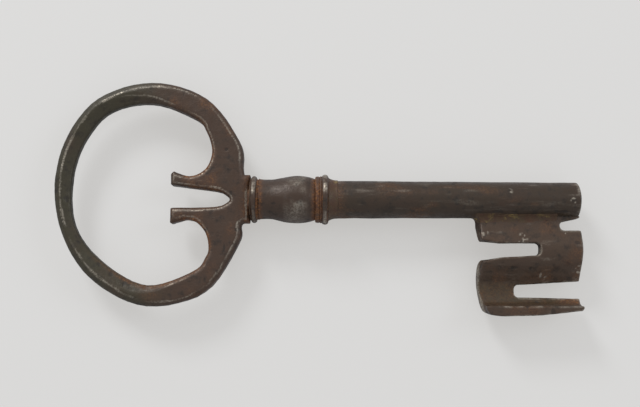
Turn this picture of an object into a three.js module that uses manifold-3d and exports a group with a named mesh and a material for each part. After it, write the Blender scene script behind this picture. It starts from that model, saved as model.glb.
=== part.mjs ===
// A wrought-iron door key with a pipe shank, lying flat: X runs along the shank from the bow to
// the tip, Y points away from the bit, Z points up. Lengths are millimetres.
//
// It is put together as such keys are: the bow is forged with a round tang, a collar and a
// baluster neck are threaded on the tang, the tang plugs the upper end of the hollow shank, a
// knop ring closes that joint, and the bit stands in a slot of the shank. Brass solder holds
// the collar, the knop and the bit.
//
// Every turned piece is drawn along its own X axis and starts at x = 0. The stations below put
// the pieces one after another, counted from the bow's shoulder.

import * as THREE from "three";
import { mergeVertices } from "three/addons/utils/BufferGeometryUtils.js";
import Module from "manifold-3d";

const wasm = await Module();
wasm.setup();

// Fits
const fitClearance = 0.12; // radial play of the tang in its bores and of the knop on the shank
const seatGap = 0.2; // solder gap between the round shank and what is laid against it
const roundSteps = 48; // sides of a turned piece

// Bow: a flat forged ring, open inside, with two horns that turn in towards its middle
const bowThickness = 4.8;
const bowBevel = 1.0; // worn slope along every edge of the ring
const ringCentre = { x: -26.1, y: 1.6 };
// Radius of the ring's outer and inner edge at each direction, in degrees from the shank
const ringOutside = [
  [14, 25.0], [30, 26.8], [60, 28.7], [90, 29.1], [120, 28.6], [150, 26.2], [180, 24.7],
  [210, 25.0], [240, 26.9], [270, 29.3], [300, 29.6], [330, 26.8], [340, 25.4],
];
const ringInside = [
  [312, 22.3], [300, 23.5], [270, 24.0], [240, 21.6], [210, 21.1], [180, 20.4], [150, 21.4],
  [120, 23.7], [90, 23.5], [60, 22.6], [48, 21.6],
];
const hornReach = 20.6; // from the shoulder to where both horns stop
const hornRootReach = 10.2; // from the shoulder to where the horns leave the ring
const hornRootDepth = 1.5; // how far a horn's root runs on inside the ring
const hornBite = 0.2; // how far it stands past the ring's opening sideways
const hornFlare = 0.6; // how far a horn's foot widens past its stem
const hornBevel = 0.25;
// Each horn's inner and outer edge at its foot, and the hollow edge from there to the ring
const upperHorn = {
  inner: 3.5,
  outer: 6.5,
  edge: [[-18.4, 6.4], [-15.8, 5.9], [-13.1, 6.7], [-11.1, 8.7], [-10.0, 13.2]],
};
const lowerHorn = {
  inner: 2.4,
  outer: 6.0,
  edge: [[-18.4, 5.8], [-16.2, 5.4], [-13.6, 6.4], [-11.5, 9.0], [-10.2, 12.9]],
};
// The narrow gap between the horns: its half width at their roots, its edges, and its bottom
const notch = {
  half: 2.2,
  upper: [[-6.8, 1.3], [-9.0, 1.9]],
  lower: [[-9.0, -2.0], [-6.8, -1.5]],
  tip: [-5.3, -0.2],
};
const shoulderLength = 1.6;
const shoulderStep = 0.15; // how far the shoulder stands out past the collar

// Tang and shank
const pipeBore = 3.1; // radius of the hole that goes over the lock's pin
const pipeTopRadius = 4.9;
const pipeTipRadius = 4.62;
const pipeLength = 68.0;
const pipeTipRound = 0.5;
const tangInPipe = 12.0; // how deep the tang plugs the shank
const tangRadius = pipeBore - fitClearance;
const tangRoot = 0.4; // how far the tang is sunk into the shoulder that it is forged with
const sleeveBore = tangRadius + fitClearance;

// Collar, neck and knop
const solderFilm = 0.3;
const collarRadius = 6.14;
const collarBead = 1.45;
const collarFoot = 0.55; // plain step between the collar's bead and the neck
const collarFootRadius = 5.5;
const neckWaist = 3.9;
const neckWaistRadius = 5.2;
const neckRise = { along: 2.0, radius: 5.68 }; // a point on the way from the waist to the belly
const neckBelly = 10.6;
const neckBellyRadius = 6.16;
const neckTail = 3.95; // from the belly to the knop
const neckFall = { along: 1.7, radius: 5.85 }; // a point this far before the knop
const neckEndRadius = 5.3;
const knopSmallBead = 1.25;
const knopLargeBead = 2.05;
const knopSmallRadius = 6.0;
const knopRadius = 6.45;
const knopGroove = 0.3; // depth of the groove between the beads
const coveLength = 2.5;
const coveStart = 5.95;
const knopBore = pipeTopRadius + fitClearance;
const coveEdge = 0.14; // how thick the solder is where it thins out on the shank

// Bit: one plate, bent to an S when seen from the tip
const bitThickness = 3.3;
const bitLipThickness = 2.65;
const bitStart = 58.5; // counted from the shoulder, like every station of the bit
const bitEnd = 85.1;
const bitReach = 30.0; // from the shank's axis to the lip's outer edge
const crest = { reach: 12.1, rise: 1.95 }; // the bend towards +Z
const trough = { reach: 22.9, rise: -2.4 }; // the bend towards -Z
const lipRise = 3.4; // how high the turned-up lip ends
// How the plate's middle line leaves its bends: steps in reach and rise from each of them
const crestFall = { reach: 3.2, rise: 0.7 };
const webMiddle = { reach: 0.8, rise: 0.3 };
const troughStart = { reach: 1.8, rise: 0.25 };
const troughEnd = { reach: 1.7, rise: 0.05 };
const lipStart = 2.8; // where the lip begins to turn up, and where it is steep, from its outer edge
const lipSteep = 1.6;
const cornerRound = 1.5;
const lipBulge = 0.1;
const tipCorner = 0.4; // small slope at the lip's end at the tip
const lipSlant = 1.4; // the lip's outer edge rises by this much towards the tip
const heelSlant = 1.2; // how far the lower left edge is drawn in at the lip
// Ward cuts: where the cut ends, and its upper and lower edge there and at its open mouth
const upperCut = { end: 79.8, top: 5.7, low: 8.0, mouthTop: 4.5, mouthLow: 8.0 };
const middleCut = { end: 74.3, top: 11.3, low: 14.5, mouthTop: 11.4, mouthLow: 15.4 };
const lowerCut = { end: 68.3, top: 21.9, low: 25.1, mouthTop: 20.9, mouthLow: 25.4 };
const cutRound = 1.1; // radius of a cut's inner corners
const cutOverrun = 1.0; // how far a cutting body runs past what it cuts
const tongueInset = 2.0; // the tongue in the shank's slot is this much shorter at each end
const tongueThickness = 2.8;
const solderLeg = 1.3; // height and width of the solder fillet along the bit's root
const solderToe = 2.2; // how far that fillet runs on past the bit's end
const solderSkin = 0.3; // how thick that fillet is where it thins out
const rootStraight = pipeTopRadius + solderLeg + solderSkin; // the plate stays flat down to here
const cutHeight = 4 * (bitThickness + lipRise); // tall enough to go through the bent plate

// Stations
const collarAt = solderFilm;
const neckAt = collarAt + collarBead + collarFoot;
const neckLength = neckBelly + neckTail;
const pipeAt = neckAt + neckLength;
const knopLength = knopSmallBead + knopLargeBead;
const coveAt = pipeAt + knopLength;
const tangEnd = pipeAt + tangInPipe;
const tongueStart = bitStart + tongueInset;
const tongueEnd = upperCut.end - tongueInset;

function solidOf(geometry) {
  const plain = geometry.index ? geometry.clone() : mergeVertices(geometry);
  plain.deleteAttribute("normal");
  plain.deleteAttribute("uv");
  const merged = mergeVertices(plain);
  return new wasm.Manifold(
    new wasm.Mesh({
      numProp: 3,
      vertProperties: merged.attributes.position.array,
      triVerts: new Uint32Array(merged.index.array),
    }),
  );
}

function geometryOf(solid) {
  const mesh = solid.getMesh();
  const geometry = new THREE.BufferGeometry();
  geometry.setAttribute("position", new THREE.BufferAttribute(mesh.vertProperties, 3));
  geometry.setIndex(new THREE.BufferAttribute(mesh.triVerts, 1));
  geometry.computeVertexNormals();
  return geometry;
}

// A turned piece from its outline [x, radius], left to right. With a bore it is a ring.
function turned(outline, bore = 0) {
  const first = outline[0][0];
  const last = lastOf(outline)[0];
  const profile = [new THREE.Vector2(bore, first)];
  outline.forEach(([x, radius]) => profile.push(new THREE.Vector2(radius, x)));
  profile.push(new THREE.Vector2(bore, last));
  if (bore > 0) {
    profile.push(new THREE.Vector2(bore, first));
  }
  return new THREE.LatheGeometry(profile, roundSteps).rotateZ(-Math.PI / 2);
}

// Half-round moulding from x = start, standing on a base radius and reaching a top radius.
function bead(start, length, base, top, steps = 6) {
  return Array.from({ length: steps + 1 }, (_, i) => {
    const turn = (Math.PI * i) / steps;
    return [
      start + (length * (1 - Math.cos(turn))) / 2,
      base + (top - base) * Math.sin(turn),
    ];
  });
}

function smooth(points, steps) {
  const curve = new THREE.SplineCurve(points.map(([x, y]) => new THREE.Vector2(x, y)));
  return curve.getPoints(steps);
}

function polar([degrees, radius]) {
  const turn = THREE.MathUtils.degToRad(degrees);
  return new THREE.Vector2(
    ringCentre.x + radius * Math.cos(turn),
    ringCentre.y + radius * Math.sin(turn),
  );
}

function lastOf(list) {
  return list[list.length - 1];
}

function lineThrough(path, points) {
  points.forEach(([x, y]) => path.lineTo(x, y));
}

function curveThrough(path, points) {
  path.splineThru(points.map(([x, y]) => new THREE.Vector2(x, y)));
}

// The forged ring with its shoulder. Its opening runs down into the notch between the horns.
function ringShape() {
  const half = collarRadius + shoulderStep;
  const shape = new THREE.Shape();
  shape.moveTo(0, -half);
  shape.lineTo(0, half);
  shape.lineTo(-shoulderLength, half);
  shape.splineThru(ringOutside.map(polar));
  shape.lineTo(-shoulderLength, -half);

  const opening = new THREE.Path();
  opening.moveTo(-hornRootReach, -notch.half);
  lineThrough(opening, notch.lower.slice(0, 1));
  curveThrough(opening, [...notch.lower.slice(1), notch.tip, ...notch.upper]);
  const upperSide = lastOf(upperHorn.edge)[1] - hornBite;
  const lowerSide = lastOf(lowerHorn.edge)[1] - hornBite;
  lineThrough(opening, [[-hornRootReach, notch.half], [-hornRootReach, upperSide]]);
  opening.splineThru(ringInside.map(polar).reverse());
  lineThrough(opening, [[-hornRootReach, -lowerSide]]);
  shape.holes.push(opening);
  return shape;
}

// One horn from its foot to inside the ring. Side is 1 above the notch and -1 below it.
function hornShape(stem, side) {
  const shape = new THREE.Shape();
  const inRing = hornRootDepth - hornRootReach;
  shape.moveTo(inRing, side * (notch.half - hornBevel));
  lineThrough(shape, [[-hornRootReach, side * notch.half], [-hornReach, side * stem.inner]]);
  lineThrough(shape, [[-hornReach, side * (stem.outer + hornFlare)]]);
  curveThrough(shape, stem.edge.map(([x, y]) => [x, side * y]));
  lineThrough(shape, [[inRing, side * lastOf(stem.edge)[1]]]);
  return shape;
}

function forged(shape, bevel, curveSegments) {
  const flat = new THREE.ExtrudeGeometry(shape, {
    depth: bowThickness - 2 * bevel,
    bevelThickness: bevel,
    bevelSize: bevel,
    bevelOffset: -bevel,
    bevelSegments: 2,
    curveSegments,
  });
  return solidOf(flat.translate(0, 0, bevel - bowThickness / 2));
}

function bowSolid() {
  const tang = turned([[-tangRoot, tangRadius], [tangEnd, tangRadius]]);
  // The shoulder's end is square, so that the solder film lies flat against it.
  const block = new THREE.BoxGeometry(shoulderLength, 2 * collarRadius, bowThickness);
  block.translate(-shoulderLength / 2, 0, 0);
  return forged(ringShape(), bowBevel, 4)
    .add(forged(hornShape(upperHorn, 1), hornBevel, 2))
    .add(forged(hornShape(lowerHorn, -1), hornBevel, 2))
    .add(solidOf(block))
    .add(solidOf(tang));
}

function filmOutline() {
  return [[0, collarFootRadius], [solderFilm, collarFootRadius]];
}

function collarOutline() {
  return [
    ...bead(0, collarBead, collarFootRadius, collarRadius),
    [collarBead + collarFoot, collarFootRadius],
  ];
}

function neckOutline() {
  const belly = smooth(
    [
      [neckWaist, neckWaistRadius],
      [neckWaist + neckRise.along, neckRise.radius],
      [neckBelly, neckBellyRadius],
      [neckLength - neckFall.along, neckFall.radius],
      [neckLength, neckEndRadius],
    ],
    20,
  );
  return [[0, neckWaistRadius], ...belly.map((p) => [p.x, p.y])];
}

function knopOutline() {
  const smallBead = bead(0, knopSmallBead, knopSmallRadius - knopGroove, knopSmallRadius, 5);
  const largeBead = bead(knopSmallBead, knopLargeBead, knopRadius - 2 * knopGroove, knopRadius);
  return [...smallBead, ...largeBead.slice(1)];
}

// Solder that has run out from the knop onto the shank, hollow like the inside of a ring.
function coveOutline() {
  const edge = knopBore + coveEdge;
  return Array.from({ length: 8 }, (_, i) => {
    const turn = (Math.PI / 2) * (i / 7);
    return [coveLength * (1 - Math.cos(turn)), coveStart - (coveStart - edge) * Math.sin(turn)];
  });
}

function pipeSolid() {
  const flatEnd = pipeLength - pipeTipRound;
  const tip = Array.from({ length: 4 }, (_, i) => {
    const turn = (Math.PI / 2) * (i / 3);
    return [
      flatEnd + pipeTipRound * Math.sin(turn),
      pipeTipRadius - pipeTipRound * (1 - Math.cos(turn)),
    ];
  });
  const tube = turned([[0, pipeTopRadius], ...tip], pipeBore);
  const slotLength = tongueEnd - tongueStart + 2 * fitClearance;
  const slotWidth = tongueThickness + 2 * fitClearance;
  const slot = new THREE.BoxGeometry(slotLength, pipeTopRadius, slotWidth);
  slot.translate((tongueStart + tongueEnd) / 2 - pipeAt, -(pipeBore + pipeTopRadius) / 2, 0);
  return solidOf(tube).subtract(solidOf(slot));
}

// The plate's middle line seen from the tip, as [reach below the axis, rise].
function bitMiddleLine() {
  return smooth(
    [
      [pipeBore, 0],
      [pipeTopRadius, 0],
      [rootStraight, 0],
      [(rootStraight + crest.reach) / 2, crest.rise / 2],
      [crest.reach, crest.rise],
      [crest.reach + crestFall.reach, crest.rise - crestFall.rise],
      [
        (crest.reach + trough.reach) / 2 + webMiddle.reach,
        (crest.rise + trough.rise) / 2 - webMiddle.rise,
      ],
      [trough.reach - troughStart.reach, trough.rise + troughStart.rise],
      [trough.reach + troughEnd.reach, trough.rise + troughEnd.rise],
      [bitReach - lipStart, trough.rise / 2],
      [bitReach - lipSteep, lipRise / 3],
      [bitReach - bitLipThickness / 2, lipRise],
    ],
    44,
  );
}

// The bent plate, as long as the bit: its section is the middle line made thick.
function bitPlate() {
  const line = bitMiddleLine();
  const upper = [];
  const lower = [];
  line.forEach((point, i) => {
    const before = line[Math.max(i - 1, 0)];
    const after = line[Math.min(i + 1, line.length - 1)];
    const along = after.clone().sub(before).normalize();
    const share = THREE.MathUtils.smoothstep(point.x, crest.reach, bitReach);
    const half = THREE.MathUtils.lerp(bitThickness, bitLipThickness, share) / 2;
    upper.push(new THREE.Vector2(-(point.x - along.y * half), point.y + along.x * half));
    lower.push(new THREE.Vector2(-(point.x + along.y * half), point.y - along.x * half));
  });
  const section = new THREE.Shape([...upper, ...lower.reverse()]);
  const plate = new THREE.ExtrudeGeometry(section, {
    depth: bitEnd - bitStart,
    bevelEnabled: false,
  });
  // The section is drawn in (Y, Z) and extruded along X.
  const along = new THREE.Vector3(1, 0, 0);
  const across = new THREE.Vector3(0, 1, 0);
  const up = new THREE.Vector3(0, 0, 1);
  plate.applyMatrix4(new THREE.Matrix4().makeBasis(across, up, along));
  return solidOf(plate.translate(bitStart, 0, 0));
}

function sheet(shape, height) {
  const block = new THREE.ExtrudeGeometry(shape, { depth: height, bevelEnabled: false });
  return solidOf(block.translate(0, 0, -height / 2));
}

// The bit's outline from above, without the ward cuts.
function bitOutline() {
  const shape = new THREE.Shape();
  shape.moveTo(bitStart, -pipeBore);
  shape.lineTo(bitStart, -trough.reach + cornerRound);
  const heel = bitStart + heelSlant;
  shape.lineTo(heel, -bitReach + cornerRound);
  shape.quadraticCurveTo(heel, -bitReach, heel + cornerRound, -bitReach);
  shape.lineTo(heel + 4 * cornerRound, -bitReach - lipBulge);
  shape.lineTo(bitEnd - tipCorner, -bitReach + lipSlant);
  shape.lineTo(bitEnd, -bitReach + lipSlant + tipCorner);
  shape.lineTo(bitEnd, -pipeBore);
  return shape;
}

// A ward cut with rounded inner corners, from its end to past the bit's edge at x = mouth.
function wardCut(cut, mouth) {
  const round = Math.sign(mouth - cut.end) * cutRound;
  const shape = new THREE.Shape();
  shape.moveTo(mouth, -cut.mouthTop);
  shape.lineTo(cut.end + round, -cut.top);
  shape.quadraticCurveTo(cut.end, -cut.top, cut.end, -cut.top - cutRound);
  shape.lineTo(cut.end, -cut.low + cutRound);
  shape.quadraticCurveTo(cut.end, -cut.low, cut.end + round, -cut.low);
  shape.lineTo(mouth, -cut.mouthLow);
  return sheet(shape, cutHeight);
}

// The room that the shank and the film of solder round it take, between two stations.
function shankRoom(from, to) {
  const radius = pipeTopRadius + seatGap;
  return solidOf(turned([[from, radius], [to, radius]]));
}

function bitSolid() {
  const tongueDepth = rootStraight - pipeBore - fitClearance;
  const tongue = new THREE.BoxGeometry(tongueEnd - tongueStart, tongueDepth, tongueThickness);
  tongue.translate((tongueStart + tongueEnd) / 2, -rootStraight + tongueDepth / 2, 0);
  return bitPlate()
    .intersect(sheet(bitOutline(), cutHeight))
    .subtract(wardCut(upperCut, bitEnd + cutOverrun))
    .subtract(wardCut(middleCut, bitStart - cutOverrun))
    .subtract(wardCut(lowerCut, bitEnd + cutOverrun))
    .subtract(shankRoom(bitStart - cutOverrun, bitEnd + cutOverrun))
    .add(solidOf(tongue));
}

// Solder along both sides of the bit's root and round its left end, cut by the shank's seat and
// by the plate.
function bitSolderSolid() {
  const start = bitStart - solderToe;
  const end = upperCut.end - solderLeg;
  const top = pipeTopRadius - solderLeg;
  const low = pipeTopRadius + solderLeg;
  const bend = pipeTopRadius + solderSkin;
  const edge = bitThickness / 2 + solderSkin;
  const foot = bitThickness / 2 + solderLeg;
  const section = new THREE.Shape();
  section.moveTo(-foot, -top);
  section.quadraticCurveTo(-edge, -bend, -edge, -low);
  section.lineTo(edge, -low);
  section.quadraticCurveTo(edge, -bend, foot, -top);
  const strip = new THREE.ExtrudeGeometry(section, {
    depth: end - start,
    bevelEnabled: false,
    curveSegments: 5,
  });
  strip.rotateY(Math.PI / 2).translate(start, 0, 0);
  const side = new THREE.Shape();
  side.moveTo(start, -top);
  side.lineTo(start, -pipeTopRadius - seatGap - solderSkin / 2);
  side.quadraticCurveTo(bitStart - solderSkin, -bend, bitStart - solderSkin, -low);
  side.lineTo(end, -low);
  side.lineTo(end, -top);
  const room = bitThickness + 2 * fitClearance;
  const plate = new THREE.BoxGeometry(bitEnd - bitStart, 3 * solderLeg, room);
  plate.translate((bitStart + bitEnd) / 2, -pipeTopRadius, 0);
  return solidOf(strip)
    .intersect(sheet(side, cutHeight))
    .subtract(shankRoom(start - cutOverrun, bitEnd))
    .subtract(solidOf(plate));
}

const iron = { color: 0x4a4036, roughness: 0.55, metalness: 0.75 };
const solder = { color: 0x7a5330, roughness: 0.5, metalness: 0.8 };

function piece(name, geometry, look, station = 0) {
  const mesh = new THREE.Mesh(geometry, new THREE.MeshStandardMaterial(look));
  mesh.name = name;
  mesh.position.x = station;
  return mesh;
}

const key = new THREE.Group();
key.name = "key";
key.add(piece("bow", geometryOf(bowSolid()), iron));
key.add(piece("collar_solder", turned(filmOutline(), sleeveBore), solder));
key.add(piece("collar", turned(collarOutline(), sleeveBore), iron, collarAt));
key.add(piece("neck", turned(neckOutline(), sleeveBore), iron, neckAt));
key.add(piece("knop", turned(knopOutline(), knopBore), iron, pipeAt));
key.add(piece("knop_solder", turned(coveOutline(), knopBore), solder, coveAt));
key.add(piece("pipe", geometryOf(pipeSolid()), iron, pipeAt));
key.add(piece("bit", geometryOf(bitSolid()), iron));
key.add(piece("bit_solder", geometryOf(bitSolderSolid()), solder));

// The frame's origin is the middle of the bottom of the box round the whole key.
key.updateMatrixWorld(true);
const box = new THREE.Box3().setFromObject(key, true);
const middle = box.getCenter(new THREE.Vector3());
key.position.set(-middle.x, -middle.y, -box.min.z);

export default key;
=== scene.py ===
"""An old wrought-iron door key lying on a pale sheet, seen from above.

Each forged or turned piece is modelled in its own function, in millimetres counted along the shank
from the bow's shoulder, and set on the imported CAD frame. The bow, the bit and the solder at its root
are level sets of a distance field, meshed on an even grid. The turned pieces are surfaces of
revolution. All of them are then roughened by the same kind of forging and rust marks.
"""

import math

import bpy
import numpy as np
from mathutils import Matrix, Vector


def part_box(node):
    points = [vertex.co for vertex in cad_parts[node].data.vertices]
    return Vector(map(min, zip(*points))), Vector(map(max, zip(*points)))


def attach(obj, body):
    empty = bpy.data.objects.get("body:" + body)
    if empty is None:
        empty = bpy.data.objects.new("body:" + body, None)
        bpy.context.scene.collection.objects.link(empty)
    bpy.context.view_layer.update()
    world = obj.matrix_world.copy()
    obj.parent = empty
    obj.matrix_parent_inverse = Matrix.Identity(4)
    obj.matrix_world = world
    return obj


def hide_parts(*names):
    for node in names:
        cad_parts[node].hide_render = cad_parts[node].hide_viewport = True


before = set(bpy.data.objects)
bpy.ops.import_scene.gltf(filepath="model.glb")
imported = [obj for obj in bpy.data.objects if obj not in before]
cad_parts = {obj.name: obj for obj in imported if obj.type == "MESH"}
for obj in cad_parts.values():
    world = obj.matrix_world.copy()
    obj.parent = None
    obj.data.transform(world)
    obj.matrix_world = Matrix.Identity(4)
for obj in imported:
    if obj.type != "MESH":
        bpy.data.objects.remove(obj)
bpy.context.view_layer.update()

MM = 0.001
BODY = "root"

# The shank's axis and the bow's shoulder, read from the frame
pipe_low, pipe_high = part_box("pipe")
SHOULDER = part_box("collar_solder")[0][0] / MM
AXIS_Y = (pipe_low[1] + pipe_high[1]) / 2 / MM
AXIS_Z = (pipe_low[2] + pipe_high[2]) / 2 / MM
ORIGIN = np.array([SHOULDER, AXIS_Y, AXIS_Z])

# Grid step of the meshed fields, and the spacing of rings and sides on turned pieces
GRID = 0.24
AROUND = 220
ALONG = 0.22


def station(node, end):
    """Where a CAD node starts (end 0) or stops (end 1) along the shank, from the shoulder."""
    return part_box(node)[end][0] / MM - SHOULDER


def radius(node):
    low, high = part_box(node)
    return (high[2] - low[2]) / 2 / MM


# Noise

def lattice_noise(points, size, seed):
    """Smooth noise from -1 to 1 at points, with features of about that size."""
    scaled = points / size
    cell = np.floor(scaled).astype(np.int64)
    part = scaled - cell
    part = part * part * (3 - 2 * part)
    total = np.zeros(len(points))
    for corner in np.ndindex(2, 2, 2):
        x, y, z = (cell + corner).T
        code = (x * 73856093) ^ (y * 19349663) ^ (z * 83492791) ^ (seed * 2654435761)
        code = ((code ^ (code >> 13)) * 1274126177) & 0x7FFFFFFF
        code = (code ^ (code >> 16)) & 0xFFFF
        weight = np.prod(np.where(corner, part, 1 - part), axis=1)
        total += weight * (code / 32767.5 - 1)
    return total


def layered_noise(points, size, seed, layers=3):
    total = np.zeros(len(points))
    for layer in range(layers):
        total += lattice_noise(points, size / 2**layer, seed + layer) / 2**layer
    return total / (2 - 0.5 ** (layers - 1))


def ramp(value, low, high):
    """0 below low, 1 above high, smooth between."""
    share = np.clip((value - low) / (high - low), 0, 1)
    return share * share * (3 - 2 * share)


# Distance fields

def smooth_max(a, b, blend):
    gap = np.clip(0.5 + 0.5 * (a - b) / blend, 0, 1)
    return b + (a - b) * gap + blend * gap * (1 - gap)


def smooth_min(a, b, blend):
    return -smooth_max(-a, -b, blend)


def outline_distance(x, y, outline):
    """Distance from each (x, y) to a closed outline, negative inside it."""
    start = np.asarray(outline, float)
    end = np.roll(start, -1, axis=0)
    nearest = np.full(x.shape, np.inf)
    inside = np.zeros(x.shape, bool)
    for (ax, ay), (bx, by) in zip(start, end):
        dx, dy = bx - ax, by - ay
        length = dx * dx + dy * dy
        if length < 1e-12:
            continue
        t = np.clip(((x - ax) * dx + (y - ay) * dy) / length, 0, 1)
        nearest = np.minimum(nearest, (x - ax - t * dx) ** 2 + (y - ay - t * dy) ** 2)
        if ay != by:
            crosses = (ay > y) != (by > y)
            inside ^= crosses & (x < (bx - ax) * (y - ay) / (by - ay) + ax)
    distance = np.sqrt(nearest)
    return np.where(inside, -distance, distance)


def spline(points, steps=6, closed=False):
    """Catmull-Rom curve through the points, as a list of (x, y)."""
    knots = np.asarray(points, float)
    if closed:
        knots = np.vstack([knots[-1], knots, knots[0], knots[1]])
    else:
        knots = np.vstack([2 * knots[0] - knots[1], knots, 2 * knots[-1] - knots[-2]])
    curve = []
    for a, b, c, d in zip(knots, knots[1:], knots[2:], knots[3:]):
        for t in np.arange(steps) / steps:
            curve.append(
                0.5 * (2 * b + (c - a) * t + (2 * a - 5 * b + 4 * c - d) * t**2 + (3 * b - a - 3 * c + d) * t**3)
            )
    if not closed:
        curve.append(knots[-2])
    return curve


def grid_axes(low, high, step):
    return [np.arange(a - 2 * step, b + 3 * step, step) for a, b in zip(low, high)]


def surface_net(field, axes):
    """Points and quads of the zero level of a field on an even grid; inside is below zero."""
    step = axes[0][1] - axes[0][0]
    low = np.array([axis[0] for axis in axes])
    cells = tuple(n - 1 for n in field.shape)
    total = np.zeros((*cells, 3))
    count = np.zeros(cells)

    def corner(offset):
        return field[tuple(slice(o, o + n) for o, n in zip(offset, cells))]

    for along in range(3):
        across = [axis for axis in range(3) if axis != along]
        for p, q in np.ndindex(2, 2):
            start = [0, 0, 0]
            start[across[0]], start[across[1]] = p, q
            end = list(start)
            end[along] = 1
            a, b = corner(start), corner(end)
            crossed = (a < 0) != (b < 0)
            share = a / np.where(crossed, a - b, 1)
            total[..., along] += np.where(crossed, share, 0)
            total[..., across[0]] += crossed * p
            total[..., across[1]] += crossed * q
            count += crossed
    used = count > 0
    number = np.full(cells, -1)
    number[used] = np.arange(used.sum())
    points = low + (np.argwhere(used) + total[used] / count[used][:, None]) * step

    quads = []
    for along in range(3):
        first, second = [axis for axis in range(3) if axis != along]
        keep = [slice(1, -1)] * 3
        keep[along] = slice(None)
        inner = field[tuple(keep)]
        a = np.take(inner, range(inner.shape[along] - 1), axis=along)
        b = np.take(inner, range(1, inner.shape[along]), axis=along)
        for sign, crossed in ((1, (a < 0) & (b >= 0)), (-1, (a >= 0) & (b < 0))):
            at = np.argwhere(crossed)
            at[:, first] += 1
            at[:, second] += 1
            turn = sign if along != 1 else -sign
            order = [(1, 1), (0, 1), (0, 0), (1, 0)][::turn]
            ring = []
            for p, q in order:
                cell = at.copy()
                cell[:, first] -= p
                cell[:, second] -= q
                ring.append(number[tuple(cell.T)])
            quads.append(np.stack(ring, axis=1))
    return points, np.vstack(quads)


# Meshes

def make_object(name, points, quads, node, masks):
    """A shaded mesh object from points in millimetres, standing for a CAD node. masks: name to value."""
    mesh = bpy.data.meshes.new(name)
    mesh.from_pydata(((points + ORIGIN) * MM).tolist(), [], quads.tolist())
    mesh.polygons.foreach_set("use_smooth", [True] * len(mesh.polygons))
    for mask, values in masks.items():
        layer = mesh.attributes.new(mask, "FLOAT", "POINT")
        layer.data.foreach_set("value", np.clip(values, 0, 1).astype(np.float32))
    mesh.update()
    obj = bpy.data.objects.new(name, mesh)
    bpy.context.scene.collection.objects.link(obj)
    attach(obj, BODY)
    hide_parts(node)
    return obj


def vertex_normals(points, quads):
    corners = points[quads]
    face = np.cross(corners[:, 2] - corners[:, 0], corners[:, 3] - corners[:, 1])
    normals = np.zeros_like(points)
    for i in range(4):
        np.add.at(normals, quads[:, i], face)
    return normals / np.maximum(np.linalg.norm(normals, axis=1), 1e-12)[:, None]


def forge_marks(points, quads, dents=0.07, grain=0.025, seed=1):
    """Moves the points a little inwards and outwards: shallow hammer dents, and finer rust pitting."""
    normals = vertex_normals(points, quads)
    moved = dents * layered_noise(points, 4.5, seed, 2)
    moved += grain * layered_noise(points, 0.9, seed + 7, 2)
    pits = ramp(layered_noise(points, 1.6, seed + 13, 2), 0.42, 0.75)
    moved -= 2.2 * grain * pits
    return points + normals * moved[:, None], pits


def turned(outline, bore):
    """Points and quads of a ring with a bore, from its outline [(x, radius)] from left to right."""
    path = np.asarray(outline, float)
    first, last = path[0], path[-1]
    path = np.vstack([[first[0], bore], path, [last[0], bore], [first[0], bore]])
    gaps = np.linalg.norm(np.diff(path, axis=0), axis=1)
    rings = [path[0]]
    for a, b, gap in zip(path, path[1:], gaps):
        count = max(1, int(round(gap / ALONG)))
        rings += [a + (b - a) * (i + 1) / count for i in range(count)]
    rings = np.array(rings[:-1])
    turns = np.arange(AROUND) * 2 * math.pi / AROUND
    x = np.repeat(rings[:, 0], AROUND)
    r = np.repeat(rings[:, 1], AROUND)
    turn = np.tile(turns, len(rings))
    points = np.stack([x, -r * np.cos(turn), r * np.sin(turn)], axis=1)
    ring = np.arange(len(rings))[:, None] * AROUND
    side = np.arange(AROUND)[None, :]
    following = np.roll(np.arange(len(rings)), -1)[:, None] * AROUND
    quads = np.stack(
        [
            (ring + side).ravel(),
            (following + side).ravel(),
            (following + (side + 1) % AROUND).ravel(),
            (ring + (side + 1) % AROUND).ravel(),
        ],
        axis=1,
    )
    return points, quads


def bead(start, length, base, top, steps=14):
    turns = np.linspace(0, math.pi, steps)
    return [(start + length * (1 - math.cos(t)) / 2, base + (top - base) * math.sin(t)) for t in turns]


def chips(points, places):
    """Clusters of small bright chips on the upper side, near each (x, y, spread)."""
    specks = ramp(lattice_noise(points, 0.55, 71), 0.25, 0.5) * ramp(points[:, 2], -2, -1)
    near = [np.exp(-((points[:, 0] - x) ** 2 + (points[:, 1] - y) ** 2) / s**2) for x, y, s in places]
    return 1.6 * specks * ramp(np.max(near, axis=0), 0.2, 0.8)


# Bow

RING_THICKNESS = 4.8
RING_CENTRE = (-26.1, 1.6)
RING_OUTSIDE = [
    (14, 25.0), (30, 26.8), (60, 28.7), (90, 29.1), (120, 28.6), (150, 26.2), (180, 24.7),
    (210, 25.0), (240, 26.9), (270, 29.3), (300, 29.6), (330, 26.8), (340, 25.4),
]
RING_INSIDE = [
    (312, 22.3), (300, 23.5), (270, 24.0), (240, 21.6), (210, 21.1), (180, 20.4), (150, 21.4),
    (120, 23.7), (90, 23.5), (60, 22.6), (48, 21.6),
]
HORN_END = -20.6
SHOULDER_LENGTH = 1.6
SHOULDER_HALF = 6.25
EDGE_ROUND = 0.35
TANG_RADIUS = 2.9
TANG_ROOT = 0.4  # how far the tang is sunk into the shoulder
TANG_END = station("bow", 1)


def polar(places):
    turns = np.radians([p[0] for p in places])
    radii = np.array([p[1] for p in places])
    return np.stack(
        [RING_CENTRE[0] + radii * np.cos(turns), RING_CENTRE[1] + radii * np.sin(turns)], axis=1
    )


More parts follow.
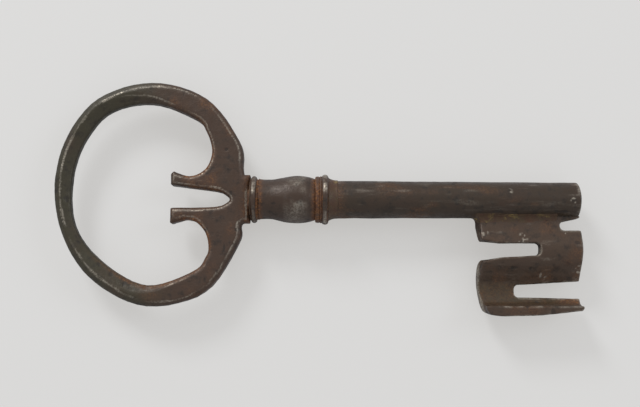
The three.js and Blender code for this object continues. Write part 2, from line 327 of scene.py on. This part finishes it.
def bow_outlines():
    outer = [(0, -SHOULDER_HALF), (0, SHOULDER_HALF)]
    outer += spline([(-SHOULDER_LENGTH, SHOULDER_HALF), *polar(RING_OUTSIDE), (-SHOULDER_LENGTH, -SHOULDER_HALF)])
    upper = [(-10.1, 12.6), (-11.1, 8.7), (-13.1, 6.7), (-15.8, 5.9), (-18.4, 6.5), (HORN_END + 0.7, 7.1)]
    lower = [(HORN_END + 0.4, -6.5), (-18.4, -5.9), (-16.2, -5.4), (-13.6, -6.3), (-11.4, -9.0), (-10.6, -12.3)]
    notch = [(-9.0, -2.05), (-6.8, -1.5), (-5.3, -0.2), (-6.8, 1.3), (-9.0, 2.0)]
    opening = spline([*upper[::-1], *polar(RING_INSIDE[::-1]), *lower[::-1]])
    opening += [(HORN_END, -6.3), (HORN_END, -2.5)]
    opening += spline([(HORN_END + 0.3, -2.4), (-14.2, -2.35), *notch, (-14.2, 2.7), (HORN_END + 0.3, 3.45)])
    opening += [(HORN_END, 3.7), (HORN_END, 6.4)]
    return outer, opening


def make_bow():
    outer, opening = bow_outlines()
    low, high = [-52, -30, -TANG_RADIUS], [TANG_END, 32, TANG_RADIUS]
    xs, ys, zs = grid_axes(low, high, GRID)
    flat_x, flat_y = np.meshgrid(xs, ys, indexing="ij")
    out = -outline_distance(flat_x, flat_y, outer)
    hole = outline_distance(flat_x, flat_y, opening)
    # The ring is a rounded bar at the far side and flattens towards the lobes beside the shank.
    flatness = ramp(flat_x, -38, -18)
    outer_slope = 1.75 - 0.75 * flatness
    inner_slope = 3.0 - 2.2 * flatness
    half = RING_THICKNESS / 2
    side = smooth_max(-out, -hole, EDGE_ROUND)
    chamfer = smooth_max(
        (0.66 + 0.1 * flatness) * (outer_slope - out),
        (0.42 + 0.36 * flatness) * (inner_slope - hole),
        0.25,
    )
    height = np.abs(zs)[None, None, :] - half
    field = smooth_max(height + 0 * side[..., None], side[..., None], 0.5)
    field = smooth_max(field, (height + chamfer[..., None]) * 0.8, 0.45)
    tang = np.hypot(ys[None, :, None], zs[None, None, :]) - TANG_RADIUS
    along = xs[:, None, None]
    tang = np.maximum(tang, np.maximum(along - TANG_END, -TANG_ROOT - along))
    points, quads = surface_net(np.minimum(field, tang), (xs, ys, zs))
    moved, pits = forge_marks(points, quads, dents=0.11, grain=0.03, seed=3)
    # The tang keeps its true size, so that it clears the bores round it.
    on_tang = ramp(points[:, 0], -0.2, 0.3)[:, None]
    moved = moved + (points - moved) * on_tang

    def at(values):
        i = np.clip(((moved[:, 0] - xs[0]) / GRID).round().astype(int), 0, len(xs) - 1)
        j = np.clip(((moved[:, 1] - ys[0]) / GRID).round().astype(int), 0, len(ys) - 1)
        return values[i, j]

    # Pale metal on the upper bevel ridges, on the upper side only: partly rubbed edges, partly painted highlight
    # drawn as thin bright creases.
    ridge_out = 1 - ramp(np.abs(at(out - outer_slope)), 0.04, 0.32)
    ridge_in = 1 - ramp(np.abs(at(hole - inner_slope)), 0.04, 0.3)
    patchy = ramp(layered_noise(moved, 6.0, 41), -0.3, 0.35)
    wear_and_highlight = np.maximum(ridge_out, ridge_in * at(flatness)) * patchy * ramp(moved[:, 2], 1.2, 2.0)
    # Rust sits on the hollow edges beside the horns, along the low inner edge and at the shoulder.
    x, y = moved[:, 0], moved[:, 1]
    inner_wall = 1 - ramp(at(hole), 0.5, 1.3)
    hollows = ramp(np.abs(y), 4.6, 5.6) * (1 - ramp(np.abs(y), 10, 17)) * (1 - ramp(np.abs(x + 13), 3.2, 5))
    low_side = 0.6 * (1 - ramp(y, -24, -12)) + 0.3 * (1 - ramp(np.abs(x + 11), 3, 6))
    rust = inner_wall * np.maximum(hollows, low_side)
    rust += 0.55 * (1 - ramp(np.abs(x), 0.2, 2.6))
    rust += 0.4 * ramp(layered_noise(moved, 5.0, 57), 0.0, 0.6) * ramp(x, -40, -12)
    masks = {"wear_and_highlight": wear_and_highlight, "rust": rust, "pits": pits, "olive": 1 - ramp(x, -34, -16)}
    return make_object("bow_forging", moved, quads, "bow", masks)


# Collar, neck and knop

COLLAR_BEAD = 1.45
NECK_OUTLINE = [
    (0.0, 5.35), (0.4, 5.2), (2.2, 5.12), (3.9, 5.25), (5.9, 5.68), (8.2, 6.05), (10.6, 6.16),
    (12.8, 5.86), (14.0, 5.5), (14.55, 5.3),
]


def make_collar():
    start, end = station("collar", 0), station("collar", 1)
    top = radius("collar")
    outline = bead(0, COLLAR_BEAD, top - 0.75, top)
    outline += [(COLLAR_BEAD + 0.15, top - 0.85), (end - start, top - 0.95)]
    points, quads = turned([(x + start, r) for x, r in outline], bore=3.0)
    moved, pits = forge_marks(points, quads, dents=0.16, grain=0.04, seed=11)
    across = np.hypot(moved[:, 1], moved[:, 2])
    wear_and_highlight = ramp(across, top - 0.25, top) * ramp(layered_noise(moved, 3.0, 12), -0.4, 0.3)
    rust = 1 - ramp(across, top - 0.75, top - 0.3)
    return make_object("collar_ring", moved, quads, "collar", {"wear_and_highlight": wear_and_highlight, "rust": rust, "pits": pits})


def make_neck():
    start, end = station("neck", 0), station("neck", 1)
    scale = (end - start) / NECK_OUTLINE[-1][0]
    outline = [(start + x * scale, r) for x, r in spline(NECK_OUTLINE, 5)]
    points, quads = turned(outline, bore=3.0)
    moved, pits = forge_marks(points, quads, dents=0.13, grain=0.03, seed=17)
    from_end = np.minimum(np.abs(moved[:, 0] - start), np.abs(end - moved[:, 0]))
    wear_and_highlight = 0.6 * ramp(np.hypot(moved[:, 1], moved[:, 2]), 5.8, 6.2)
    wear_and_highlight *= ramp(layered_noise(moved, 4.0, 18), -0.3, 0.5)
    rust = 0.85 * (1 - ramp(from_end, 0.1, 1.5))
    return make_object("neck_sleeve", moved, quads, "neck", {"wear_and_highlight": wear_and_highlight, "rust": rust, "pits": pits})


def make_knop():
    start, end = station("knop", 0), station("knop", 1)
    length = end - start
    top = radius("knop")
    outline = bead(0, 0.36 * length, top - 0.75, top - 0.45)
    outline += bead(0.36 * length, 0.16 * length, top - 0.6, top - 0.4, 8)[1:]
    outline += bead(0.52 * length, 0.48 * length, top - 0.6, top)[1:]
    points, quads = turned([(x + start, r) for x, r in outline], bore=4.95)
    moved, pits = forge_marks(points, quads, dents=0.16, grain=0.05, seed=23)
    across = np.hypot(moved[:, 1], moved[:, 2])
    wear_and_highlight = ramp(across, top - 0.2, top + 0.02) * ramp(layered_noise(moved, 2.2, 24), -0.3, 0.4)
    rust = 0.9 * (1 - ramp(across, top - 0.6, top - 0.2))
    rust += 0.35 * ramp(layered_noise(moved, 3.0, 25), 0.0, 0.5)
    return make_object("knop_ring", moved, quads, "knop", {"wear_and_highlight": wear_and_highlight, "rust": rust, "pits": pits})


def make_knop_solder():
    start, end = station("knop_solder", 0), station("knop_solder", 1)
    top, edge = radius("knop_solder"), 4.98
    turns = np.linspace(0, math.pi / 2, 14)
    outline = [
        (start + (end - start) * (1 - math.cos(t)), top - (top - edge) * math.sin(t)) for t in turns
    ]
    points, quads = turned(outline, bore=4.9)
    moved, pits = forge_marks(points, quads, dents=0.1, grain=0.04, seed=29)
    return make_object("knop_fillet", moved, quads, "knop_solder", solder_masks(moved, pits, 31))


def make_collar_solder():
    start, end = station("collar_solder", 0), station("collar_solder", 1)
    outline = [(start, radius("collar_solder") - 0.1), (end, radius("collar_solder"))]
    points, quads = turned(outline, bore=3.0)
    moved, pits = forge_marks(points, quads, dents=0.08, grain=0.03, seed=37)
    return make_object("collar_film", moved, quads, "collar_solder", solder_masks(moved, pits, 39))


def solder_masks(points, pits, seed):
    return {
        "wear_and_highlight": 0.5 * ramp(layered_noise(points, 2.0, seed), 0.1, 0.7),
        "rust": 0.45 + 0.5 * layered_noise(points, 1.8, seed + 1),
        "pits": pits,
    }


# Shank

PIPE_BORE = 3.1
PIPE_TOP = 4.9
PIPE_TIP = 4.62
TIP_ROUND = 0.6


def pipe_radius(x):
    share = (x - station("pipe", 0)) / (station("pipe", 1) - station("pipe", 0))
    return PIPE_TOP + (PIPE_TIP - PIPE_TOP) * share


def make_pipe():
    start, end = station("pipe", 0), station("pipe", 1)
    turns = np.linspace(0, math.pi / 2, 9)
    outline = [(start, PIPE_TOP)]
    outline += [
        (end - TIP_ROUND * (1 - math.sin(t)), PIPE_TIP - TIP_ROUND * (1 - math.cos(t))) for t in turns
    ]
    outline.append((end - 0.2, PIPE_BORE + 0.05))
    points, quads = turned(outline, bore=PIPE_BORE)
    moved, pits = forge_marks(points, quads, dents=0.07, grain=0.02, seed=43)
    stretched = moved * [0.16, 1, 1]
    streaks = ramp(layered_noise(stretched, 0.9, 47), 0.15, 0.7)
    # Pale streaks grow stronger on the side towards the lamp: painted sheen laid over the real scratches.
    painted_lamp_side = ramp(moved[:, 1], -1.5, 4.0)
    wear_and_highlight = 0.3 * streaks * (0.4 + 0.6 * painted_lamp_side)
    wear_and_highlight += 0.9 * ramp(moved[:, 0], end - 1.2, end - 0.2) * ramp(layered_noise(moved, 2.0, 48), -0.3, 0.5)
    wear_and_highlight += chips(moved, TIP_CHIPS)
    rust = 0.5 * (1 - ramp(moved[:, 0] - start, 4.5, 9.0))
    rust += 0.3 * ramp(layered_noise(moved * [0.35, 1, 1], 3.0, 49), 0.1, 0.6)
    masks = {"wear_and_highlight": wear_and_highlight, "rust": rust, "pits": pits, "olive": np.full(len(moved), 0.3)}
    return make_object("shank_pipe", moved, quads, "pipe", masks)


# Bit

BIT_START, BIT_END, BIT_REACH = 58.5, 85.1, 30.0
BIT_THICKNESS, LIP_THICKNESS = 3.3, 2.65
CREST, TROUGH, LIP_RISE = (12.1, 1.95), (22.9, -2.4), 3.4
CORNER = 1.5
# Ward cuts: end, upper and lower edge there, upper and lower edge at the mouth
UPPER_CUT = (79.8, 5.7, 8.0, 4.5, 8.0)
MIDDLE_CUT = (74.3, 11.3, 14.5, 11.4, 15.4)
LOWER_CUT = (68.3, 21.9, 25.1, 20.9, 25.4)
WARD_CUTS = ((UPPER_CUT, BIT_END + 1), (MIDDLE_CUT, BIT_START - 1), (LOWER_CUT, BIT_END + 1))
CUT_ROUND = 1.1
# Where small bright chips show on the bit and at the shank's tip: along, aside, and how far they spread
BIT_CHIPS = ((80.6, -8.3, 1.0), (84.4, -18.2, 1.4), (70.0, -10.2, 1.5), (60.4, -9.0, 0.9), (75.4, -19.6, 1.0))
TIP_CHIPS = ((84.3, 3.4, 1.0), (82.8, -0.6, 0.9), (66.5, 1.8, 0.8))


def bit_section():
    """Outline of the S-bent plate seen from the tip, as (-reach, rise)."""
    straight = PIPE_TOP + 1.6
    line = np.array(spline([
        (PIPE_BORE + 0.6, 0), (PIPE_TOP, 0), (straight, 0.1), (9.3, 1.05), CREST,
        (CREST[0] + 3.2, CREST[1] - 0.65), (18.2, -0.6), (TROUGH[0] - 1.9, TROUGH[1] + 0.25),
        (TROUGH[0] + 1.7, TROUGH[1] + 0.1), (BIT_REACH - 2.8, TROUGH[1] / 2), (BIT_REACH - 1.6, LIP_RISE / 3),
        (BIT_REACH - LIP_THICKNESS / 2, LIP_RISE),
    ], 8))
    along = np.gradient(line, axis=0)
    along /= np.linalg.norm(along, axis=1)[:, None]
    across = np.stack([-along[:, 1], along[:, 0]], axis=1)
    share = ramp(line[:, 0], CREST[0], BIT_REACH)
    half = (BIT_THICKNESS + (LIP_THICKNESS - BIT_THICKNESS) * share)[:, None] / 2
    outline = np.vstack([line + across * half, (line - across * half)[::-1]])
    return outline * [-1, 1]


def cut_outline(cut, mouth):
    end, top, low, mouth_top, mouth_low = cut
    side = 1 if mouth > end else -1
    centre = end + side * CUT_ROUND
    turns = np.linspace(math.pi / 2, math.pi, 7)
    across = [centre + side * CUT_ROUND * math.cos(t) for t in turns]
    down = [CUT_ROUND * (1 - math.sin(t)) for t in turns]
    upper = [(x, -top - y) for x, y in zip(across, down)]
    lower = [(x, -low + y) for x, y in zip(across, down)][::-1]
    return [(mouth, -mouth_top), *upper, *lower, (mouth, -mouth_low)]


def bit_outline():
    heel = BIT_START + 1.2
    left = spline([(BIT_START, -5), (BIT_START - 0.05, -9.5), (BIT_START + 0.3, -11.3)], 5)
    left += spline([(BIT_START + 0.9, -15.2), (BIT_START + 0.2, -17.5), (BIT_START + 0.3, -21.5),
                    (heel - 0.3, -26.5), (heel + 0.3, -28.8), (heel + CORNER, -BIT_REACH)], 5)
    low = spline([(heel + CORNER, -BIT_REACH), (66, -BIT_REACH - 0.1), (76, -29.5), (BIT_END - 0.5, -28.5)], 5)
    right = spline([(BIT_END, -27.8), (BIT_END - 0.1, -24), (BIT_END, -18), (BIT_END + 0.05, -12), (BIT_END, -8),
                    (BIT_END - 0.1, -2.5)], 4)
    return [(BIT_START, -2.5), *left, *low[1:], *right]


def bit_fields(xs, ys, zs):
    """The plate, and the shank beside it, as distance fields on the grid."""
    section_y, section_z = np.meshgrid(ys, zs, indexing="ij")
    section = outline_distance(section_y, section_z, bit_section())
    flat_x, flat_y = np.meshgrid(xs, ys, indexing="ij")
    flat = outline_distance(flat_x, flat_y, bit_outline())
    for cut, mouth in WARD_CUTS:
        opening = outline_distance(flat_x, flat_y, cut_outline(cut, mouth))
        flat = smooth_max(flat, -opening, 0.3)
    # The left end is filed to a slope, so that it leans away from the viewer.
    lean = 0.35 * np.clip(zs + 1.0, 0, 2)[None, None, :] * ramp(-flat_x + BIT_START + 6, 0, 5)[..., None]
    plate = smooth_max(section[None, :, :] + 0 * flat[..., None], flat[..., None] + lean, 0.55)
    reach = np.hypot(section_y, section_z)[None, :, :]
    shank = reach - pipe_radius(xs)[:, None, None]
    return plate, shank


def make_bit():
    low, high = [BIT_START - 0.5, -31, -4.6], [BIT_END + 0.6, -3.6, 4.4]
    xs, ys, zs = grid_axes(low, high, GRID)
    plate, shank = bit_fields(xs, ys, zs)
    field = smooth_max(plate, -(shank + 0.25), 0.1)
    points, quads = surface_net(field, (xs, ys, zs))
    moved, pits = forge_marks(points, quads, dents=0.1, grain=0.035, seed=53)
    normals = vertex_normals(moved, quads)
    # Worn spots: the open edges of the plate, the lip and the corners of the ward cuts
    flat_x, flat_y = moved[:, 0], moved[:, 1]
    edge = outline_distance(flat_x, flat_y, bit_outline())
    for cut, mouth in WARD_CUTS:
        edge = np.maximum(edge, -outline_distance(flat_x, flat_y, cut_outline(cut, mouth)))
    rounded = (1 - ramp(np.abs(edge + 0.15), 0.05, 0.45)) * (1 - np.abs(normals[:, 2]) ** 6)
    lip = (1 - ramp(np.abs(flat_y + 27.2), 0.1, 0.8)) * ramp(moved[:, 2], 1.5, 3.2)
    wear_and_highlight = rounded * ramp(layered_noise(moved, 2.0, 54), -0.3, 0.4)
    wear_and_highlight += 0.8 * lip * ramp(layered_noise(moved, 1.6, 55), -0.2, 0.5)
    wear_and_highlight += 0.25 * ramp(layered_noise(moved * [0.3, 1, 1], 1.2, 56), 0.3, 0.8)
    wear_and_highlight += chips(moved, BIT_CHIPS)
    web = ramp(-flat_y, 20.5, 22.5) * (1 - ramp(-flat_y, 26.0, 27.5))
    rust = web * (0.2 + 0.6 * ramp(flat_x, 76, 84))
    rust += 0.3 * ramp(layered_noise(moved, 4.0, 58), 0.05, 0.6)
    masks = {"wear_and_highlight": wear_and_highlight, "rust": rust, "pits": pits, "olive": 0.15 + 0.6 * web}
    return make_object("bit_plate", moved, quads, "bit", masks)


def make_bit_solder():
    low = [BIT_START - 2.6, -PIPE_TOP - 1.7, -3.6]
    high = [UPPER_CUT[0] - 0.6, -PIPE_TOP + 1.9, 3.6]
    xs, ys, zs = grid_axes(low, high, GRID * 0.75)
    plate, shank = bit_fields(xs, ys, zs)
    joined = smooth_min(plate, shank, 1.5)
    x, y, z = np.meshgrid(xs, ys, zs, indexing="ij")
    ends = np.maximum(low[0] + 0.5 - x, x - high[0])
    room = np.maximum(np.maximum(ends, y - (high[1] - 0.5)), low[1] + 0.4 - y)
    room = np.maximum(room, np.abs(z) - 3.0)
    hollow = smooth_max(joined, room, 0.3)
    field = np.maximum(hollow, -(shank + 0.15))
    points, quads = surface_net(field, (xs, ys, zs))
    moved, pits = forge_marks(points, quads, dents=0.05, grain=0.03, seed=61)
    return make_object("bit_fillet", moved, quads, "bit_solder", solder_masks(moved, pits, 63))


# Materials

class Graph:
    """Short names for building a node material."""

    def __init__(self, name):
        self.material = bpy.data.materials.new(name)
        self.material.use_nodes = True
        self.tree = self.material.node_tree
        self.shader = self.tree.nodes["Principled BSDF"]

    def put(self, socket, value):
        if isinstance(value, bpy.types.NodeSocket):
            self.tree.links.new(value, socket)
        else:
            socket.default_value = value

    def node(self, kind, output, settings=(), **inputs):
        made = self.tree.nodes.new(kind)
        for name, value in dict(settings).items():
            setattr(made, name, value)
        for name, value in inputs.items():
            self.put(made.inputs[name.replace("_", " ")], value)
        return made.outputs[output]

    def mask(self, name):
        return self.node("ShaderNodeAttribute", "Fac", {"attribute_name": name})

    def noise(self, size, detail=4.0, rough=0.55, stretch=(1, 1, 1)):
        """Noise from 0 to 1 whose features are about that many millimetres across."""
        place = self.node("ShaderNodeTexCoord", "Object")
        mapped = self.node("ShaderNodeMapping", "Vector", Vector=place, Scale=stretch)
        return self.node(
            "ShaderNodeTexNoise", "Fac", Vector=mapped, Scale=1 / (size * MM), Detail=detail, Roughness=rough
        )

    def between(self, value, low, high, start=0.0, end=1.0):
        made = self.tree.nodes.new("ShaderNodeMapRange")
        made.interpolation_type = "SMOOTHSTEP"
        for i, item in enumerate((value, low, high, start, end)):
            self.put(made.inputs[i], item)
        return made.outputs[0]

    def math(self, operation, a, b):
        made = self.tree.nodes.new("ShaderNodeMath")
        made.operation = operation
        self.put(made.inputs[0], a)
        self.put(made.inputs[1], b)
        made.use_clamp = operation != "SUBTRACT"
        return made.outputs[0]

    def mix(self, share, a, b):
        made = self.tree.nodes.new("ShaderNodeMix")
        made.data_type = "RGBA"
        self.put(made.inputs[0], share)
        self.put(made.inputs[6], a if isinstance(a, bpy.types.NodeSocket) else (*a, 1))
        self.put(made.inputs[7], b if isinstance(b, bpy.types.NodeSocket) else (*b, 1))
        return made.outputs[2]

    def bump(self, height, depth, under=None):
        """Raises the surface by depth millimetres where height is 1."""
        made = self.tree.nodes.new("ShaderNodeBump")
        made.inputs["Strength"].default_value = 1.0
        made.inputs["Distance"].default_value = depth * MM
        self.put(made.inputs["Height"], height)
        if under is not None:
            self.put(made.inputs["Normal"], under)
        return made.outputs["Normal"]


PATINA_DARK = (0.014, 0.011, 0.009)
PATINA_BROWN = (0.052, 0.031, 0.021)
PATINA_OLIVE = (0.036, 0.031, 0.018)
RUST_RED = (0.085, 0.033, 0.015)
RUST_ORANGE = (0.20, 0.085, 0.026)
# Pale bare metal for rubbed edges, also used as painted highlight on ridges and on the lamp side
WORN_IRON_AND_HIGHLIGHT = (0.42, 0.38, 0.32)
SOLDER_BROWN = (0.056, 0.041, 0.021)
SOLDER_BRIGHT = (0.42, 0.32, 0.10)


def iron_material(name, painted_lighting_scale=1.0):
    """Dark old iron: brown and olive patina, rust in the hollows, pale bare metal on rubbed edges that also
    serves as painted highlight. The scale factor brightens or darkens the patina of one piece: painted light and
    shading.
    """
    graph = Graph(name)
    clouds = graph.noise(9.0, 5)
    mottle = graph.noise(2.2, 6, 0.65)
    speck = graph.noise(0.45, 4, 0.6)
    # The patina is scaled per piece: painted light and shading on one and the same iron.
    brown = tuple(painted_lighting_scale * value for value in PATINA_BROWN)
    olive = tuple(painted_lighting_scale * value for value in PATINA_OLIVE)
    green_share = graph.math("MULTIPLY", graph.mask("olive"), graph.between(clouds, 0.3, 0.55, 0.5, 1))
    colour = graph.mix(green_share, brown, olive)
    colour = graph.mix(graph.between(mottle, 0.48, 0.72, 0, 0.75), colour, PATINA_DARK)
    rust_share = graph.math("MULTIPLY", graph.mask("rust"), graph.between(mottle, 0.3, 0.6, 0.35, 1.0))
    rust_colour = graph.mix(graph.between(speck, 0.45, 0.62), RUST_RED, RUST_ORANGE)
    colour = graph.mix(rust_share, colour, rust_colour)
    pit_share = graph.between(graph.mask("pits"), 0.1, 0.9, 0, 0.6)
    colour = graph.mix(pit_share, colour, PATINA_DARK)
    # Pale metal on rubbed edges; on the bow's upper bevel ridges and the shank's lamp side it is painted
    # highlight.
    rubbed_and_highlight = graph.math("MULTIPLY", graph.mask("wear_and_highlight"), graph.between(speck, 0.38, 0.6, 0.25, 1.0))
    scratches = graph.noise(0.5, 3, 0.6, stretch=(0.08, 1, 1))
    fine = graph.between(scratches, 0.66, 0.78, 0, 0.14)
    rubbed_and_highlight = graph.math("MAXIMUM", rubbed_and_highlight, fine)
    colour = graph.mix(graph.math("MULTIPLY", rubbed_and_highlight, 0.8), colour, WORN_IRON_AND_HIGHLIGHT)
    shader = graph.shader
    graph.put(shader.inputs["Base Color"], colour)
    graph.put(shader.inputs["Metallic"], graph.between(rubbed_and_highlight, 0.1, 0.9, 0.12, 0.85))
    graph.put(shader.inputs["Specular IOR Level"], 0.35)
    rough = graph.between(mottle, 0.3, 0.7, 0.34, 0.56)
    rough = graph.math("ADD", rough, graph.math("MULTIPLY", rust_share, 0.25))
    graph.put(shader.inputs["Roughness"], rough)
    normal = graph.bump(graph.noise(0.35, 5, 0.7), 0.035)
    normal = graph.bump(graph.noise(1.4, 4, 0.6), 0.07, normal)
    normal = graph.bump(scratches, 0.02, normal)
    graph.put(shader.inputs["Normal"], normal)
    return graph.material


def solder_material(name):
    """Old brass solder, browned, with brighter rubbed spots."""
    graph = Graph(name)
    mottle = graph.noise(1.1, 5, 0.65)
    speck = graph.noise(0.4, 4)
    colour = graph.mix(graph.between(mottle, 0.35, 0.65), SOLDER_BROWN, PATINA_BROWN)
    colour = graph.mix(graph.math("MULTIPLY", graph.mask("rust"), 0.7), colour, RUST_RED)
    bright = graph.math("MULTIPLY", graph.mask("wear_and_highlight"), graph.between(speck, 0.4, 0.6))
    colour = graph.mix(bright, colour, SOLDER_BRIGHT)
    graph.put(graph.shader.inputs["Base Color"], colour)
    graph.put(graph.shader.inputs["Metallic"], graph.between(bright, 0, 1, 0.35, 0.85))
    graph.put(graph.shader.inputs["Roughness"], graph.between(mottle, 0.3, 0.7, 0.42, 0.62))
    normal = graph.bump(graph.noise(0.3, 4, 0.65), 0.04)
    graph.put(graph.shader.inputs["Normal"], graph.bump(mottle, 0.08, normal))
    return graph.material


# Stage, light and camera

KEY_TURN = math.radians(-0.2)  # the key lies this much anticlockwise of the picture's edge
VIEW_TILT = math.radians(6.8)  # the camera stands this far from straight above, towards the bit
VIEW_DISTANCE = 221.0
VIEW_WIDTH = 166.4  # what the picture is wide at the shank's axis
VIEW_TARGET = (18.07, -1.01, 0.0)  # the picture's middle, from the shoulder on the axis
PAPER = (0.60, 0.62, 0.65)
SHEET_GLOW = (0.74, 0.72, 0.69)
GLOW_SHARE = 0.62


def make_floor():
    mesh = bpy.data.meshes.new("paper")
    half = 1.5
    mesh.from_pydata([(-half, -half, 0), (half, -half, 0), (half, half, 0), (-half, half, 0)], [], [(0, 1, 2, 3)])
    floor = bpy.data.objects.new("paper", mesh)
    bpy.context.scene.collection.objects.link(floor)
    graph = Graph("pale_paper")
    graph.put(graph.shader.inputs["Base Color"], (*PAPER, 1))
    graph.put(graph.shader.inputs["Roughness"], 0.9)
    graph.put(graph.shader.inputs["Specular IOR Level"], 0.1)
    # To the camera the sheet glows like a light table, so the key's shadow on it stays faint.
    glow = graph.node("ShaderNodeEmission", "Emission", Color=(*SHEET_GLOW, 1))
    seen = graph.node("ShaderNodeLightPath", "Is Camera Ray")
    mixed = graph.tree.nodes.new("ShaderNodeMixShader")
    graph.put(mixed.inputs[0], graph.math("MULTIPLY", seen, GLOW_SHARE))
    graph.put(mixed.inputs[1], graph.shader.outputs[0])
    graph.put(mixed.inputs[2], glow)
    graph.put(graph.tree.nodes["Material Output"].inputs["Surface"], mixed.outputs[0])
    mesh.materials.append(graph.material)


def area_light(name, place, size, power, colour=(1, 1, 1)):
    light = bpy.data.lights.new(name, "AREA")
    light.shape = "DISK"
    light.size = size
    light.energy = power
    light.color = colour
    lamp = bpy.data.objects.new(name, light)
    lamp.location = place
    lamp.rotation_euler = (Vector((0, 0, 0)) - Vector(place)).to_track_quat("-Z", "Y").to_euler()
    bpy.context.scene.collection.objects.link(lamp)


ROOM_LIGHT = 0.64


def make_lights():
    world = bpy.data.worlds.new("room")
    world.use_nodes = True
    world.node_tree.nodes["Background"].inputs["Color"].default_value = (1.0, 1.0, 1.0, 1)
    world.node_tree.nodes["Background"].inputs["Strength"].default_value = ROOM_LIGHT
    bpy.context.scene.world = world
    area_light("window", (-0.45, 0.75, 0.55), 0.32, 7.0, (1.0, 0.985, 0.96))
    area_light("far_fill", (0.8, 0.3, 0.6), 0.5, 2.0, (0.94, 0.97, 1.0))


def make_camera():
    camera = bpy.data.cameras.new("overhead")
    camera.sensor_width = 36.0
    camera.lens = camera.sensor_width * VIEW_DISTANCE / VIEW_WIDTH
    camera.clip_start = 0.01
    camera.clip_end = 10.0
    target = Vector((np.array(VIEW_TARGET) + ORIGIN) * MM)
    towards = Vector((0, -math.sin(VIEW_TILT), math.cos(VIEW_TILT)))
    up = Vector((math.sin(KEY_TURN), math.cos(KEY_TURN), 0))
    up = (up - up.dot(towards) * towards).normalized()
    right = up.cross(towards)
    turn = Matrix((right, up, towards)).transposed()
    obj = bpy.data.objects.new("overhead", camera)
    obj.matrix_world = Matrix.Translation(target + towards * VIEW_DISTANCE * MM) @ turn.to_4x4()
    bpy.context.scene.collection.objects.link(obj)
    bpy.context.scene.camera = obj


def finish_piece(obj, material):
    obj.data.materials.clear()
    obj.data.materials.append(material)


def main():
    finish_piece(make_bow(), iron_material("bow_iron"))
    finish_piece(make_collar(), iron_material("collar_iron"))
    finish_piece(make_collar_solder(), solder_material("collar_solder_brass"))
    # The scale factors darken the neck and the shank and brighten the bit: painted light and shading on one iron.
    finish_piece(make_neck(), iron_material("neck_iron", painted_lighting_scale=0.85))
    finish_piece(make_knop(), iron_material("knop_iron"))
    finish_piece(make_knop_solder(), solder_material("knop_solder_brass"))
    finish_piece(make_pipe(), iron_material("pipe_iron", painted_lighting_scale=0.75))
    finish_piece(make_bit(), iron_material("bit_iron", painted_lighting_scale=1.1))
    finish_piece(make_bit_solder(), solder_material("bit_solder_brass"))
    make_floor()
    make_lights()
    make_camera()
    bpy.context.scene.view_settings.view_transform = "Standard"


main()
